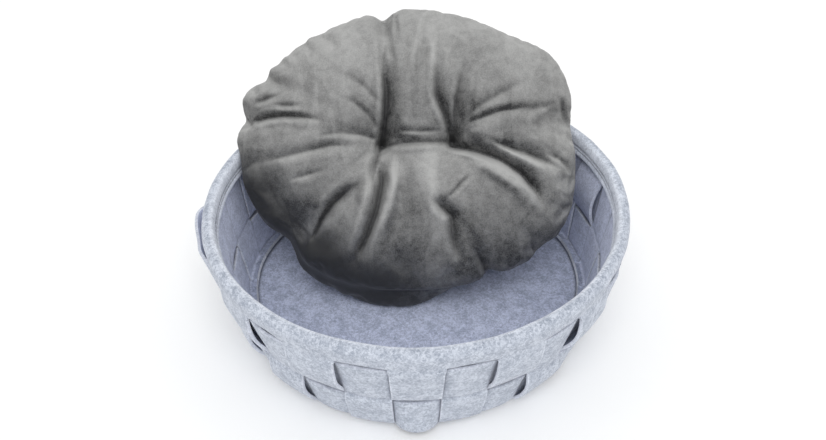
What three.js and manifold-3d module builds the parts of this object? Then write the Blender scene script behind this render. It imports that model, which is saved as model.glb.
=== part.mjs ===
import * as THREE from 'three';
import Module from 'manifold-3d';

// Round pet bed: a bowl woven from thick felt, with a loose plush cushion leaning in it.
// Millimetres, +Z up. The origin is the middle of the floor's underside, and the front is -Y.

// Felt bowl
const FELT = 3;               // thickness of every felt piece
const AIR = 0.4;              // between two pieces that lie on each other
const STRAPS = 28;            // uprights cut in the wall panel
const FOOT_RADIUS = 158.7;    // wall line at floor level
const FLARE = 0.325;          // lean of the wall line, mm outward for each mm of height
const UPRIGHT = 0.0001;       // how that lean eases off towards the rim, per mm squared
const STEEP_BACK = 28;        // how much further out the wall's foot is at the back than at the front,
const STEEP_FROM = 0.2;       // from this share of the way back
const STEEP_TO = 0.85;        // to this one
const OUT_OF_ROUND = 0.012;   // the bowl is a little longer on one diagonal
const WIDE_FRONT = 1.6;       // degrees: the straps are cut wider at the front and the back
const TURNED_BACK = 1.5;      // degrees: the back is turned a little to one side
const SLIT = 1.2;             // gap between two straps
const SLIT_TOP = 113.5;       // height where the slits end, under the hem
const RIM_TOP = 134.5;
const STRAP_BOW = 6.8;        // how far a strap bows off the wall line where a weaver passes it
const STRAP_UNEVEN = 0.14;    // share by which that bow changes from strap to strap,
const UNEVEN_STEP = 2.4;      // as a wave that takes this step, in radians, from one to the next
const WEAVER_BOW = 4;         // how far a weaver bows the other way
const WEAVER_ROUND = 0.6;     // shape of that bow: 1 is a plain wave, less is rounder
const FLOOR_RADIUS = 158;
const STRAP_ANCHOR = 4.5;     // how far a strap runs on into the hem above the slits
const RIM_SKIN = 0.2;         // how far the hem's felt stands proud of the strap that enters it

// The two rows of the weave: where the straps cross the wall line, the weaver's own edges, and the
// start of the straps' uneven wave.
const ROWS = {
  lower: { foot: 4.5, head: 57.5, lowEdge: 10.5, highEdge: 50, wave: 3 },
  upper: { foot: 57.5, head: SLIT_TOP, lowEdge: 62.5, highEdge: 108.5, wave: 1 },
};

// Heights within a row, as shares of its half height, where a strap's section is worked out.
const ROW_STEPS = [-0.86, -0.5, 0, 0.5, 0.86];

// The turned-in foot of a strap: its middle line from the free edge of the tab to the bend.
const TAB_LINE = [
  { radius: 150.5, height: 6.3 },
  { radius: 153, height: 5.1 },
  { radius: 157.2, height: 5.0 },
];

// Section of the folded hem, from the outer face of the wall over the rim to the hem's edge inside:
// how far each point stands out of the wall line, and how high above the slits.
const HEM_SECTION = [
  { out: FELT / 2 + RIM_SKIN, up: 0 },
  { out: 4.2, up: 6.6 },
  { out: 5.8, up: 13.2 },
  { out: 4.8, up: 17.4 },
  { out: 2.0, up: 20.4 },
  { out: -1.4, up: RIM_TOP - SLIT_TOP },
  { out: -4.5, up: 19 },
  { out: -6.3, up: 14.6 },
  { out: -7.0, up: 8.4 },
  { out: -7.1, up: 3 },
  { out: -3.8, up: 2.4 },
  { out: -FELT / 2 - RIM_SKIN, up: 0 },
];

// A strap where a weaver breaks the plain over-one, under-one order: it misses this one, so that it
// hangs outside three straps at the left as a slack loop.
const MISSED = { row: 'upper', strap: -6 };

// Places where a weaver hangs slacker than WEAVER_BOW, at its top and its bottom edge.
const SLACK = [
  { row: 'upper', strap: -7, top: 15, bottom: 14 },
  { row: 'upper', strap: -6, top: 15, bottom: 14 },
  { row: 'upper', strap: -5, top: 6, bottom: 6 },
  { row: 'upper', strap: 3, top: 5, bottom: 7 },
  { row: 'upper', strap: 5, top: 8, bottom: 10 },
  { row: 'lower', strap: 0, top: 5, bottom: 13 },
  { row: 'lower', strap: 4, top: 8, bottom: 8 },
];
const LOOP_SWELL = 1.2;       // how much fuller a slack loop is between two of its straps

// A strap that stands further out than the rest.
const PROUD = { row: 'upper', strap: 6, bow: 11 };

// Cushion: it leans back on the rim, its lower edge slumped on the floor.
const LEAN = 47;              // degrees, its seam's plane to the floor
const MIDDLE = new THREE.Vector3(-9, 76, 137);
const CROWN_FRONT = 42;       // height of the front panel over the seam
const CROWN_BACK = 58;        // depth of the back panel behind it
const FULLNESS = 10;          // how far the sides swell beyond a plain oval
const SLUMP = 31;             // extra swell of the back panel at the bottom, where the filling sinks,
const SLUMP_ENDS = { from: 266, to: 300 };      // which ends between these turns, at the right
const RIM_PRESS = { turn: 168, spread: 34, thins: 0.9 }; // where the rim thins the back's edge
const RIM_CLEAR = 4.5;        // height of the cushion over the rim that it rests on
const LEDGE_RADIUS = 188.5;   // from here inward the cushion drops into the bowl,
const LEDGE_SLOPE = 2.5;      // this steeply,
const LEDGE_WIDTH = 14;       // over this distance
const WALL_CLEAR = 3;         // between the cushion and the straps inside

// The seam's outline: its reach from the cushion's middle, every 30 degrees from the right side up.
const SEAM_REACH = [164, 169, 144, 137, 140, 157, 168, 159, 149, 140, 150, 171];

// Puckers along the seam: where the stitching draws the edge in, over how many degrees, and how far.
// A negative draw is a lobe that stands out between two puckers.
const PUCKERS = [
  { turn: 7, spread: 6, draw: 5 },
  { turn: 47, spread: 8, draw: 3 },
  { turn: 101, spread: 5, draw: 8 },
  { turn: 137, spread: 7, draw: 4 },
  { turn: 153, spread: 5, draw: 4 },
  { turn: 163, spread: 5, draw: -6 },
  { turn: 171, spread: 4, draw: 4 },
  { turn: 186, spread: 4, draw: 4 },
  { turn: 218, spread: 7, draw: 12 },
  { turn: 302, spread: 5, draw: 6 },
  { turn: 323, spread: 4, draw: 5 },
];

// Two tufts tie the front panel down. p runs right across the face and q up its slope.
const TUFTS = [
  { p: -25, q: 0 },
  { p: 42, q: 5 },
];
const TUFT_BOWL = { depth: 14, reach: 42 };
const TUFT_PIT = { depth: 9, reach: 13 };

// Folds of the front panel: each runs through three points, has a depth and a half width, and
// deepens over a share of its run from its first point. A negative depth is a ridge.
const FOLDS = [
  { p0: -25, q0: 3, p1: -28, q1: 42, p2: -24, q2: 124, depth: 10, width: 12, lead: 0 },
  { p0: -25, q0: -1, p1: 10, q1: 0, p2: 43, q2: 4, depth: 4, width: 11, lead: 0.1 },
  { p0: -160, q0: 20, p1: -118, q1: 25, p2: -84, q2: 20, depth: 7, width: 10, lead: 0.1 },
  { p0: -28, q0: 3, p1: -80, q1: -4, p2: -140, q2: -16, depth: 4, width: 13, lead: 0.2 },
  { p0: -48, q0: -38, p1: -76, q1: -66, p2: -104, q2: -98, depth: 10, width: 11, lead: 0.3 },
  { p0: -27, q0: -6, p1: -24, q1: -52, p2: -50, q2: -118, depth: 8, width: 12, lead: 0 },
  { p0: 42, q0: 8, p1: 29, q1: 46, p2: 28, q2: 84, depth: 9, width: 11, lead: 0 },
  { p0: 43, q0: 8, p1: 50, q1: 50, p2: 60, q2: 92, depth: 7, width: 11, lead: 0 },
  { p0: 70, q0: 20, p1: 96, q1: 31, p2: 136, q2: 34, depth: 4, width: 12, lead: 0.3 },
  { p0: 44, q0: 0, p1: 100, q1: -16, p2: 136, q2: -72, depth: 11, width: 12, lead: 0 },
  { p0: 74, q0: 2, p1: 120, q1: -9, p2: 162, q2: -32, depth: 7, width: 11, lead: 0.3 },
  { p0: 48, q0: -16, p1: 92, q1: -38, p2: 134, q2: -80, depth: -5, width: 11, lead: 0.2 },
  { p0: 32, q0: -56, p1: 44, q1: -84, p2: 47, q2: -124, depth: 7, width: 12, lead: 0.2 },
  { p0: 80, q0: -138, p1: 76, q1: -118, p2: 70, q2: -98, depth: 6, width: 9, lead: 0 },
];
const FOLD_FADE = 0.5;        // a fold fades out over the rest of its run from here
const FOLD_SAMPLES = 40;

const FRONT_MESH = { rings: 28, spacing: 7 };   // of the cushion's panels, spacing in mm round a ring
const BACK_MESH = { rings: 12, spacing: 12 };
const RING_BEND = 0.45;       // how much wider apart the rings are at the seam, as angles

const MITRE_LIMIT = 0.6;      // keeps a sharp bend's corner from running out
const FRONT_EASE = 25;        // degrees over the seam by which folds reach their full depth

const FELT_COLOUR = '#c3c9d4';
const PLUSH_COLOUR = '#7d7d7b';

const { sin, cos, abs, min, max, exp, hypot, sqrt } = Math;
const DEG = Math.PI / 180;

const wasm = await Module();
wasm.setup();

function smoothstep(low, high, value) {
  const share = min(1, max(0, (value - low) / (high - low)));
  return share * share * (3 - 2 * share);
}

// A closed skin over a row of loops with equally many points, joined end to end or capped.
function loft(loops, joined) {
  const size = loops[0].length;
  const points = loops.flat();
  const triangles = [];
  const bands = joined ? loops.length : loops.length - 1;
  for (let band = 0; band < bands; band += 1) {
    const low = band * size;
    const high = ((band + 1) % loops.length) * size;
    for (let i = 0; i < size; i += 1) {
      const next = (i + 1) % size;
      triangles.push(low + i, low + next, high + next, low + i, high + next, high + i);
    }
  }
  if (!joined) {
    const ends = [{ loop: 0, step: -1 }, { loop: loops.length - 1, step: 1 }];
    for (const { loop, step } of ends) {
      const middle = points.length;
      const centre = loops[loop].reduce((sum, point) => sum.add(point), new THREE.Vector3());
      points.push(centre.divideScalar(size));
      for (let i = 0; i < size; i += 1) {
        triangles.push(middle, loop * size + i, loop * size + ((i + step + size) % size));
      }
    }
  }
  return faceOut(points, triangles);
}

// A closed skin over rings of any number of points, all spaced evenly from the same turn. The first
// and the last ring are single points.
function skin(rings) {
  const triangles = [];
  let low = 0;
  for (let ring = 0; ring + 1 < rings.length; ring += 1) {
    const lows = rings[ring].length;
    const highs = rings[ring + 1].length;
    const high = low + lows;
    let i = 0;
    let j = 0;
    while (i < lows || j < highs) {
      const corners = [low + (i % lows), high + (j % highs)];
      const alongLow = j === highs || (i < lows && (i + 1) / lows <= (j + 1) / highs);
      if (alongLow) i += 1;
      else j += 1;
      const next = alongLow ? low + (i % lows) : high + (j % highs);
      if (!corners.includes(next)) triangles.push(corners[0], next, corners[1]);
    }
    low = high;
  }
  return faceOut(rings.flat(), triangles);
}

// A geometry from points and triangles, turned so that its faces point out.
function faceOut(points, triangles) {
  let volume = 0;
  for (let t = 0; t < triangles.length; t += 3) {
    const [a, b, c] = triangles.slice(t, t + 3).map((index) => points[index]);
    volume += new THREE.Vector3().crossVectors(b, c).dot(a);
  }
  const order = volume < 0 ? triangles.toReversed() : triangles;
  const geometry = new THREE.BufferGeometry().setFromPoints(points);
  geometry.setIndex(order);
  return geometry;
}

// The two faces of a felt strip whose middle follows a line in a plane, with mitred bends.
function faces(line, closed) {
  const count = line.length;
  const pick = (i) => line[closed ? (i + count) % count : min(count - 1, max(0, i))];
  const across = (from, to) => new THREE.Vector2(to.y - from.y, from.x - to.x).normalize();
  return line.map((here, i) => {
    const before = pick(i - 1).equals(here) ? here : pick(i - 1);
    const after = pick(i + 1).equals(here) ? here : pick(i + 1);
    const arriving = before === here ? across(here, after) : across(before, here);
    const leaving = after === here ? arriving : across(here, after);
    const normal = arriving.clone().add(leaving).normalize();
    const reach = FELT / 2 / max(MITRE_LIMIT, normal.dot(arriving));
    return {
      outer: here.clone().addScaledVector(normal, reach),
      inner: here.clone().addScaledVector(normal, -reach),
    };
  });
}

function wallRadius(height) {
  return FOOT_RADIUS + FLARE * height - UPRIGHT * height * height;
}

// The turn round the bowl, from the front towards +X, of a place counted in straps.
function turnAt(strap) {
  const even = (2 * Math.PI / STRAPS) * strap;
  return even + DEG * (WIDE_FRONT * sin(2 * even) - TURNED_BACK * (1 - cos(even)));
}

function roundness(turn) {
  return 1 - OUT_OF_ROUND * sin(2 * turn);
}

// A point of the bowl at a place counted in straps.
function bowlPoint(strap, radius, height) {
  const turn = turnAt(strap);
  const back = smoothstep(STEEP_FROM, STEEP_TO, (1 - cos(turn)) / 2);
  const steeper = STEEP_BACK * back * max(0, 1 - height / SLIT_TOP);
  const reach = (radius + steeper) * roundness(turn);
  return new THREE.Vector3(reach * sin(turn), -reach * cos(turn), height);
}

// Does the row's weaver run outside this strap?
function weaverOutside(row, strap) {
  if (row === MISSED.row && strap === MISSED.strap) return true;
  return (abs(strap) % 2 === 0) === (row === 'lower');
}

const STRAP_NUMBERS = Array.from({ length: STRAPS }, (_, i) => i - STRAPS / 2 + 1);
const HALF_STRAP = 0.5 - (SLIT / 2) * STRAPS / (2 * Math.PI * wallRadius(ROWS.upper.foot));
const STRAP_COLUMNS = [-HALF_STRAP, 0, HALF_STRAP];
const WEAVER_COLUMNS = [-2, -1, 0, 1, 2, 3].map((sixth) => sixth / 6);

// A strap's middle line, as radius and height, from its tab up into the hem.
function strapLine(strap) {
  const line = TAB_LINE.map(({ radius, height }) => new THREE.Vector2(radius, height));
  for (const [row, { foot, head, wave }] of Object.entries(ROWS)) {
    const proud = PROUD.row === row && PROUD.strap === strap;
    const uneven = STRAP_BOW * (1 + STRAP_UNEVEN * sin(UNEVEN_STEP * strap + wave));
    const bow = (weaverOutside(row, strap) ? -1 : 1) * (proud ? PROUD.bow : uneven);
    for (const step of ROW_STEPS) {
      const height = (head + foot) / 2 + step * (head - foot) / 2;
      line.push(new THREE.Vector2(wallRadius(height) + bow * sqrt(1 - step ** 4), height));
    }
    line.push(new THREE.Vector2(wallRadius(head), head));
  }
  const anchor = SLIT_TOP + STRAP_ANCHOR;
  line.push(new THREE.Vector2(wallRadius(anchor), anchor));
  return line;
}

function strap(number) {
  const loops = faces(strapLine(number), false).map(({ outer, inner }) => [
    ...STRAP_COLUMNS.map((column) => bowlPoint(number + column, outer.x, outer.y)),
    ...STRAP_COLUMNS.toReversed().map((column) => bowlPoint(number + column, inner.x, inner.y)),
  ]);
  return loft(loops, false);
}

function hem() {
  const radius = wallRadius(SLIT_TOP);
  const places = STRAP_NUMBERS.flatMap((number) => STRAP_COLUMNS.map((column) => number + column));
  return loft(places.map((place) => HEM_SECTION.map(
    ({ out, up }) => bowlPoint(place, radius + out, SLIT_TOP + up))), true);
}

function toSolid(geometry) {
  const vertProperties = new Float32Array(geometry.getAttribute('position').array);
  const triVerts = new Uint32Array(geometry.getIndex().array);
  return new wasm.Manifold(new wasm.Mesh({ numProp: 3, vertProperties, triVerts }));
}

function fromSolid(solid) {
  const { vertProperties, triVerts } = solid.getMesh();
  const geometry = new THREE.BufferGeometry();
  geometry.setAttribute('position', new THREE.Float32BufferAttribute(vertProperties, 3));
  geometry.setIndex(new THREE.Uint32BufferAttribute(triVerts, 1));
  return geometry;
}

// The wall panel: every strap grows out of the hem.
function wallPanel() {
  const straps = STRAP_NUMBERS.map((number) => toSolid(strap(number)));
  return fromSolid(straps.reduce((panel, solid) => panel.add(solid), toSolid(hem())));
}

// How far a weaver stands off the wall line at a strap's middle, at its top or bottom edge.
function weaverOffset(row, strap, edge) {
  const wrapped = STRAP_NUMBERS.at((strap + STRAPS / 2 - 1 + STRAPS) % STRAPS);
  const slack = SLACK.find((place) => place.row === row && place.strap === wrapped);
  const bow = slack ? slack[edge] : WEAVER_BOW;
  return weaverOutside(row, wrapped) ? bow : -bow;
}

// The same at any share of a strap, from -0.5 to 0.5 across it: nothing where the weaver passes
// through a slit, more inside a loop.
function weaverOffsetAt(row, strap, share, edge) {
  const middle = weaverOffset(row, strap, edge);
  const beside = weaverOffset(row, strap + Math.sign(share), edge);
  const atSlit = middle * beside > 0 ? LOOP_SWELL * (middle + beside) / 2 : 0;
  return atSlit + (middle - atSlit) * max(0, cos(share * Math.PI)) ** WEAVER_ROUND;
}

function weaver(row) {
  const { lowEdge, highEdge } = ROWS[row];
  const levels = [0, 0.5, 1].map((rise) => {
    const height = lowEdge + rise * (highEdge - lowEdge);
    const line = STRAP_NUMBERS.flatMap((number) => WEAVER_COLUMNS.map((share) => {
      const low = weaverOffsetAt(row, number, share, 'bottom');
      const high = weaverOffsetAt(row, number, share, 'top');
      const offset = low + rise * (high - low);
      const point = bowlPoint(number + share, wallRadius(height) + offset, height);
      return new THREE.Vector2(point.x, point.y);
    }));
    return faces(line, true).map(({ outer, inner }) => ({
      outer: new THREE.Vector3(outer.x, outer.y, height),
      inner: new THREE.Vector3(inner.x, inner.y, height),
    }));
  });
  const loops = levels[0].map((_, i) => [
    ...levels.map((level) => level[i].outer),
    ...levels.toReversed().map((level) => level[i].inner),
  ]);
  return loft(loops, true);
}

function floorDisc() {
  const places = STRAP_NUMBERS.flatMap((number) => STRAP_COLUMNS.map((column) => number + column));
  return loft([0, FELT].map((height) => places.map(
    (place) => bowlPoint(place, FLOOR_RADIUS, height))), false);
}

// The seam's reach at a turn in degrees: a smooth curve through the table, drawn in at the puckers.
function seamReach(turn) {
  const rows = SEAM_REACH.length;
  const place = turn / (360 / rows);
  const row = Math.floor(place);
  const [a, b, c, d] = [-1, 0, 1, 2].map((step) => SEAM_REACH[(row + step + rows) % rows]);
  const t = place - row;
  const curve = b + t * (c - a + t * (2 * a - 5 * b + 4 * c - d + t * (3 * b - a - 3 * c + d))) / 2;
  return PUCKERS.reduce((reach, { turn: middle, spread, draw }) => {
    const away = abs(turn - middle) > 180 ? 360 - abs(turn - middle) : abs(turn - middle);
    return reach - draw * exp(-((away / spread) ** 2));
  }, curve);
}

// Points along a fold, each with the depth it has there.
function foldRun({ p0, q0, p1, q1, p2, q2, depth, width, lead }) {
  const curve = new THREE.QuadraticBezierCurve(
    new THREE.Vector2(p0, q0),
    new THREE.Vector2(2 * p1 - (p0 + p2) / 2, 2 * q1 - (q0 + q2) / 2),
    new THREE.Vector2(p2, q2));
  return curve.getPoints(FOLD_SAMPLES).map((point, i) => {
    const share = i / FOLD_SAMPLES;
    const deepens = lead > 0 ? smoothstep(0, lead, share) : 1;
    const fades = 1 - smoothstep(FOLD_FADE, 1, share);
    return { p: point.x, q: point.y, width, depth: depth * deepens * fades };
  });
}
const FOLD_RUNS = FOLDS.map(foldRun);

// How far the front panel is drawn in at a point of its face, by the tufts and the folds.
function drawnIn(p, q) {
  let depth = 0;
  for (const tuft of TUFTS) {
    const away = hypot(p - tuft.p, q - tuft.q);
    depth += TUFT_BOWL.depth * exp(-((away / TUFT_BOWL.reach) ** 2));
    depth += TUFT_PIT.depth * exp(-away / TUFT_PIT.reach);
  }
  const folds = FOLD_RUNS.map((run) => run.reduce((most, mark) => {
    const away = hypot(p - mark.p, q - mark.q);
    const here = mark.depth * exp(-((away / mark.width) ** 2));
    return abs(here) > abs(most) ? here : most;
  }, 0));
  const ridge = min(0, ...folds);
  return depth + hypot(...folds.map((fold) => max(0, fold))) + ridge;
}

// A point of the cushion in its own frame. The rise is the angle over the seam, from -90 degrees in
// the middle of the back panel to 90 degrees in the middle of the front one.
function cushionPoint(turn, rise) {
  const ends = smoothstep(SLUMP_ENDS.from, SLUMP_ENDS.to, turn);
  const bottom = max(0, -sin(turn * DEG)) ** 2 * (1 - ends);
  const swell = FULLNESS + (rise < 0 ? SLUMP * bottom : 0);
  const reach = seamReach(turn) * cos(rise * DEG) + swell * sin(2 * abs(rise) * DEG);
  const p = reach * cos(turn * DEG);
  const q = reach * sin(turn * DEG);
  const thins = RIM_PRESS.thins * exp(-(((turn - RIM_PRESS.turn) / RIM_PRESS.spread) ** 2));
  const height = rise < 0 ? -CROWN_BACK * sin(-rise * DEG) ** (1 + thins)
    : CROWN_FRONT * sin(rise * DEG) - drawnIn(p, q) * smoothstep(0, FRONT_EASE, rise);
  return new THREE.Vector3(p, q, height);
}

// Moves a point of the cushion off the floor, the rim and the inside of the wall.
function clearOfBowl(point) {
  const round = roundness(Math.atan2(point.x, -point.y));
  const radius = hypot(point.x, point.y) / round;
  const overRim = RIM_TOP + RIM_CLEAR - LEDGE_SLOPE * max(0, LEDGE_RADIUS - radius);
  point.z = max(point.z, FELT + AIR, radius > LEDGE_RADIUS - LEDGE_WIDTH ? overRim : 0);
  const inside = wallRadius(min(point.z, SLIT_TOP)) - STRAP_BOW - FELT - WALL_CLEAR;
  const wanted = point.z < SLIT_TOP ? min(radius, inside) : radius;
  point.x *= wanted / radius;
  point.y *= wanted / radius;
  return point;
}

function cushion() {
  const pose = new THREE.Matrix4().makeRotationX(LEAN * DEG).setPosition(MIDDLE);
  const girth = 2 * Math.PI * SEAM_REACH.reduce((sum, reach) => sum + reach) / SEAM_REACH.length;
  const panel = ({ rings, spacing }, side) => Array.from({ length: rings + 1 }, (_, ring) => {
    const share = ring / rings;
    const rise = side * 90 * (share + RING_BEND * share * (1 - share));
    const count = max(1, Math.round(girth * cos(rise * DEG) / spacing));
    return Array.from({ length: count }, (_, i) => (
      clearOfBowl(cushionPoint(360 * i / count, rise).applyMatrix4(pose))));
  });
  return skin([...panel(BACK_MESH, -1).slice(1).toReversed(), ...panel(FRONT_MESH, 1)]);
}

function fabric(name, geometry, colour, roughness) {
  const material = new THREE.MeshStandardMaterial({ color: colour, roughness, metalness: 0 });
  const mesh = new THREE.Mesh(geometry, material);
  mesh.name = name;
  return mesh;
}

const bed = new THREE.Group();
bed.add(
  fabric('wall_panel', wallPanel(), FELT_COLOUR, 0.95),
  fabric('weaver_upper', weaver('upper'), FELT_COLOUR, 0.95),
  fabric('weaver_lower', weaver('lower'), FELT_COLOUR, 0.95),
  fabric('floor_disc', floorDisc(), FELT_COLOUR, 0.95),
  fabric('cushion', cushion(), PLUSH_COLOUR, 0.85),
);

export default bed;
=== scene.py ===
# %% [markdown]
# A round pet bed: a bowl woven from thick felt, with a loose plush cushion leaning in it. The packed
# solids come first, as a fixed frame, and every piece below is made at the same place and size.

import math

import bpy
import numpy as np
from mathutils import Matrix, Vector, noise


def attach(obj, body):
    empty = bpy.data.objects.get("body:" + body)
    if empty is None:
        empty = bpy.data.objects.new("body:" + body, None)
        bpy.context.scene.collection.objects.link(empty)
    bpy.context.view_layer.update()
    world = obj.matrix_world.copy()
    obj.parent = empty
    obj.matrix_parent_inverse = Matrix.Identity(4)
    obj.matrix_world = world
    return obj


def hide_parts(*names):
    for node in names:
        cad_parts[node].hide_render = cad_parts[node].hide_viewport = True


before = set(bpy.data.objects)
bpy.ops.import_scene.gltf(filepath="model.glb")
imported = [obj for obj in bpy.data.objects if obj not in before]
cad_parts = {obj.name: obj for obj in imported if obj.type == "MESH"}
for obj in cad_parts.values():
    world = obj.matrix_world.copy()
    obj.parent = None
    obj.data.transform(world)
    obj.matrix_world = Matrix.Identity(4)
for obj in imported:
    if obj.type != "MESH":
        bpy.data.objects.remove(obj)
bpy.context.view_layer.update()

# %% [markdown]
# The camera stands in front of the bed and looks down into it. A camera can be placed by eye, but
# here its tilt, distance and lens were worked out together from the rim, the floor and the wall's
# height, so that all of them land where the photo has them. The shift is the photo's own crop.

# %% Camera
PHOTO_WIDTH = 826            # pixels
FOCAL_PIXELS = 1062.7
CROP_PIXELS = (-4, -22.8)    # how far the photo's crop is off the lens's middle
TILT = math.radians(38.77)
DISTANCE = 1.0               # metres
AIM_HEIGHT = 0.1346          # metres

lens = bpy.data.cameras.new("front_view")
lens.lens = lens.sensor_width * FOCAL_PIXELS / PHOTO_WIDTH
lens.shift_x = CROP_PIXELS[0] / PHOTO_WIDTH
lens.shift_y = CROP_PIXELS[1] / PHOTO_WIDTH
camera = bpy.data.objects.new("front_view", lens)
camera.location = (0, -DISTANCE * math.cos(TILT), AIM_HEIGHT + DISTANCE * math.sin(TILT))
camera.rotation_euler = (math.pi / 2 - TILT, 0, 0)
bpy.context.scene.collection.objects.link(camera)
bpy.context.scene.camera = camera
print("camera lens", round(lens.lens, 2), "mm")

# %% [markdown]
# The wall of the bowl is a flaring ring of 28 upright straps. Each place on it is counted in straps
# from the front, because the slits, the weave and the hem all follow that count. The straps are
# cut a little wider at the front, and the bowl isn't quite round: both are small turns and stretches
# in the one function that every felt piece goes through. Sizes are in millimetres until a mesh is made.

# %% The bowl's shape
MM = 0.001
FELT = 3                     # thickness of every felt piece
STRAPS = 28
STRAP_NUMBERS = range(1 - STRAPS // 2, 1 + STRAPS // 2)
SLIT_TOP = 113.5             # height where the slits end, under the hem
FOOT_RADIUS = 158.7          # of the wall line at floor level
FLARE = 0.325                # how far the wall line leans out for each millimetre of height,
UPRIGHT = 0.0001             # and how that lean eases off towards the rim
STEEP_BACK = 28              # how much further out the wall's foot is at the back than at the front,
STEEP_FROM = 0.2             # from this share of the way back
STEEP_TO = 0.85              # to this one
WIDE_FRONT = 1.6             # degrees: the straps are cut wider at the front and the back
TURNED_BACK = 1.5            # degrees: the back is turned a little to one side
OUT_OF_ROUND = 0.012         # the bowl is a little longer on one diagonal


def smooth(low, high, value):
    """0 below low, 1 above high, and a soft step in between."""
    share = np.clip((value - low) / (high - low), 0, 1)
    return share * share * (3 - 2 * share)


def wall_radius(height):
    """The wall line's distance from the bowl's axis."""
    return FOOT_RADIUS + FLARE * height - UPRIGHT * height ** 2


def stretch(turn):
    """What the bowl's radius is multiplied with at a turn, as it isn't quite round."""
    return 1 - OUT_OF_ROUND * np.sin(2 * turn)


def bowl_point(place, radius, height):
    """Points of the bowl at places counted in straps from the front."""
    even = 2 * np.pi / STRAPS * np.asarray(place, float)
    turn = even + np.radians(WIDE_FRONT * np.sin(2 * even) - TURNED_BACK * (1 - np.cos(even)))
    back = smooth(STEEP_FROM, STEEP_TO, (1 - np.cos(turn)) / 2)
    steeper = STEEP_BACK * back * np.maximum(0, 1 - np.asarray(height) / SLIT_TOP)
    reach = (radius + steeper) * stretch(turn)
    return np.stack(np.broadcast_arrays(reach * np.sin(turn), -reach * np.cos(turn), height), -1)


print("rim line radius", round(wall_radius(SLIT_TOP), 1), "mm at", SLIT_TOP, "mm")

# %% [markdown]
# All felt pieces are sheets, so they share a few helpers. A sheet is a grid of points, and a Solidify
# modifier gives it the felt's thickness; modelling both faces by hand would only repeat the grid.
# A small Bevel rounds the cut edges, as shears leave them, and the edge faces take the sheet's second
# material, because cut felt looks paler. Pressed felt is never quite even, so each sheet is also
# pushed in and out a little by noise that is a few centimetres long.

# %% Helpers for sheets
CUT_ROUND = 0.7              # width of the rounding along a cut edge
CUT_ANGLE = 50               # degrees: edges that turn more than this are rounded


def grid_faces(rows, columns, closed):
    """Quads over points that are laid row by row; closed joins the last column to the first."""
    wide = columns if closed else columns - 1
    return [(r * columns + c, r * columns + (c + 1) % columns,
             (r + 1) * columns + (c + 1) % columns, (r + 1) * columns + c)
            for r in range(rows - 1) for c in range(wide)]


def make_piece(name, points, faces):
    """A smooth mesh object from points in millimetres."""
    mesh = bpy.data.meshes.new(name)
    mesh.from_pydata((np.asarray(points) * MM).tolist(), [], faces)
    mesh.shade_smooth()
    piece = bpy.data.objects.new(name, mesh)
    bpy.context.scene.collection.objects.link(piece)
    return piece


def uneven(points, length, depth):
    """A push in or out for each point, from noise with waves of this length."""
    return depth * np.array([noise.noise(Vector(point) / length) for point in points])


def push_out(points, push):
    """Moves points of the bowl away from its axis."""
    reach = np.hypot(points[:, 0], points[:, 1])
    points[:, :2] *= (1 + push / reach)[:, None]
    return points


def paint(piece, layers):
    """Keeps named values for a piece's points, which its finish can read."""
    for name, values in layers.items():
        layer = piece.data.attributes.new(name, "FLOAT", "POINT")
        layer.data.foreach_set("value", np.asarray(values, np.float32).ravel())


def thicken(piece):
    """Gives a sheet the felt's thickness and softly rounded cut edges."""
    body = piece.modifiers.new("felt", "SOLIDIFY")
    body.thickness = FELT * MM
    body.offset = 0
    body.use_even_offset = True
    body.material_offset_rim = 1
    edges = piece.modifiers.new("cut edges", "BEVEL")
    edges.width = CUT_ROUND * MM
    edges.segments = 2
    edges.limit_method = "ANGLE"
    edges.angle_limit = math.radians(CUT_ANGLE)


def soft_line(points, count, rounds):
    """An even line of points whose corners are rounded by averaging neighbours."""
    points = np.asarray(points, float)
    fine = 8 * count
    for number in (fine, count):
        run = np.insert(np.cumsum(np.linalg.norm(np.diff(points, axis=0), axis=1)), 0, 0)
        at = np.linspace(0, run[-1], number)
        points = np.stack([np.interp(at, run, column) for column in points.T], 1)
        if number == fine:
            for _ in range(rounds):
                points[1:-1] = (points[:-2] + 2 * points[1:-1] + points[2:]) / 4
    return points


print("sheets:", FELT, "mm thick, edges rounded over", CUT_ROUND, "mm")

# %% [markdown]
# The weave: two bands run round the bowl, each outside one strap and inside the next, and the two
# rows alternate. Where a band is outside, the strap bows inward, and the other way round. At the left
# the upper band misses one strap, so it hangs outside three of them as a slack loop. Naming the one
# place that differs keeps the rest a plain rule. A row has the heights between which its straps bow,
# its band's own edges, and the start of a wave that makes the bows uneven.

# %% The weave's order
ROWS = {
    "lower": {"foot": 4.5, "head": 55, "low_edge": 8.0, "high_edge": 51.0, "wave": 3},
    "upper": {"foot": 55, "head": SLIT_TOP, "low_edge": 57.0, "high_edge": 108.8, "wave": 1},
}
MISSED = ("upper", -6)       # the strap that a band should pass inside, and doesn't


def band_outside(row, strap):
    """Does the row's band run outside this strap?"""
    return (row, strap) == MISSED or (strap % 2 == 0) == (row == "lower")


for row in ROWS:
    print(row, "band is outside straps", [s for s in STRAP_NUMBERS if band_outside(row, s)])

# %% [markdown]
# The wall panel is one strip of felt, slit into straps, with its top edge folded inward as a thick hem
# and each strap's foot turned in on the floor as a tab. It could be modelled as 28 straps and a ring,
# but then a step would show where they meet, and on the real bed the rim flows into the straps. So
# the sheet is one grid: each strap has its own columns from the tab to the top of the slits, and from
# there on the columns of neighbouring straps are joined, up over the rim and down to the hem's edge.
# First comes the line along the middle of one strap: from its tab through a bow in each row. Most bows
# are flat in the middle; the few that stand proud in the photo have their own size and are rounder.

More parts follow.
